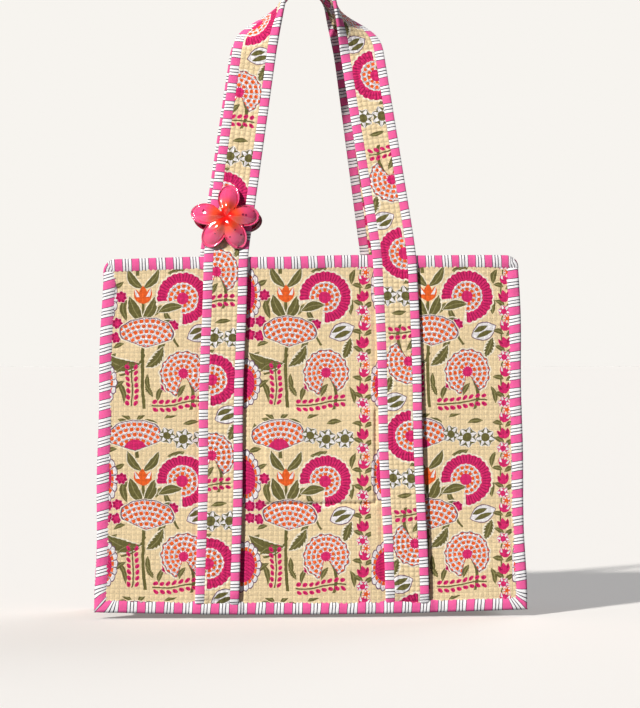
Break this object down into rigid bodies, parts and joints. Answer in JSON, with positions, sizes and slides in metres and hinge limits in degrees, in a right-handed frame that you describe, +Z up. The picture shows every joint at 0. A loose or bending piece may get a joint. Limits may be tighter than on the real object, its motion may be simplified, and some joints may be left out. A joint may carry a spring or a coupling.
{
  "type": "quilted tote bag with flower claw clip",
  "caption": "Quilted cotton tote bag with a printed floral cover, striped binding, swinging handle loops and a sprung flower claw clip.",
  "frame": {"origin": "on the ground under the middle of the object's box, between the two base seams the bag stands on", "axes": "+X along the bag's width, to the right seen from the front; +Y to the back; +Z up"},
  "size_m": [0.464, 0.147, 0.683],
  "materials": {
    "print_cotton": "matte",
    "stripe_cotton": "matte",
    "wadding": "matte",
    "lining_cotton": "matte",
    "clip_plastic": "gloss",
    "clip_metal": "polished"
  },
  "bodies": {
    "bag": {"back_binding_base": "stripe_cotton", "back_binding_left": "stripe_cotton", "back_binding_right": "stripe_cotton", "back_left_leg_band": "print_cotton", "back_left_leg_inner_binding": "stripe_cotton", "back_left_leg_outer_binding": "stripe_cotton", "back_panel_cover": "print_cotton", "back_panel_lining": "lining_cotton", "back_panel_wadding": "wadding", "back_right_leg_band": "print_cotton", "back_right_leg_inner_binding": "stripe_cotton", "back_right_leg_outer_binding": "stripe_cotton", "front_binding_base": "stripe_cotton", "front_binding_left": "stripe_cotton", "front_binding_right": "stripe_cotton", "front_left_leg_band": "print_cotton", "front_left_leg_inner_binding": "stripe_cotton", "front_left_leg_outer_binding": "stripe_cotton", "front_panel_cover": "print_cotton", "front_panel_lining": "lining_cotton", "front_panel_wadding": "wadding", "front_right_leg_band": "print_cotton", "front_right_leg_inner_binding": "stripe_cotton", "front_right_leg_outer_binding": "stripe_cotton", "gusset_base_cover": "print_cotton", "gusset_base_lining": "lining_cotton", "gusset_base_wadding": "wadding", "gusset_left_cover": "print_cotton", "gusset_left_lining": "lining_cotton", "gusset_left_wadding": "wadding", "gusset_right_cover": "print_cotton", "gusset_right_lining": "lining_cotton", "gusset_right_wadding": "wadding", "inner_pocket": "lining_cotton", "inner_pocket_binding": "stripe_cotton", "rim_binding_back": "stripe_cotton", "rim_binding_front": "stripe_cotton", "rim_binding_left": "stripe_cotton", "rim_binding_right": "stripe_cotton"},
    "front_handle": {"front_handle_band": "print_cotton", "front_handle_inner_binding": "stripe_cotton", "front_handle_outer_binding": "stripe_cotton", "clip_back_flower": "clip_plastic", "clip_hinge_pin": "clip_metal", "clip_spring": "clip_metal"},
    "back_handle": {"back_handle_band": "print_cotton", "back_handle_inner_binding": "stripe_cotton", "back_handle_outer_binding": "stripe_cotton"},
    "clip_jaw": {"clip_front_flower": "clip_plastic"}
  },
  "joints": [
    {"name": "front_handle_swing", "type": "hinge", "parent": "bag", "child": "front_handle", "pos_m": [-0.00195, -0.0651, 0.381], "axis": [1, 0, 0], "range_deg": [0, 95]},
    {"name": "back_handle_swing", "type": "hinge", "parent": "bag", "child": "back_handle", "pos_m": [-0.00195, 0.0735, 0.381], "axis": [-1, 0, 0], "range_deg": [0, 172]},
    {"name": "clip_open", "type": "hinge", "parent": "front_handle", "child": "clip_jaw", "pos_m": [-0.11505, -0.0569, 0.42501], "axis": [-0.1434, -0.1377, -0.98], "range_deg": [0, 18], "stiffness_Nm_per_rad": 0.12, "springref_deg": -22.92}
  ]
}
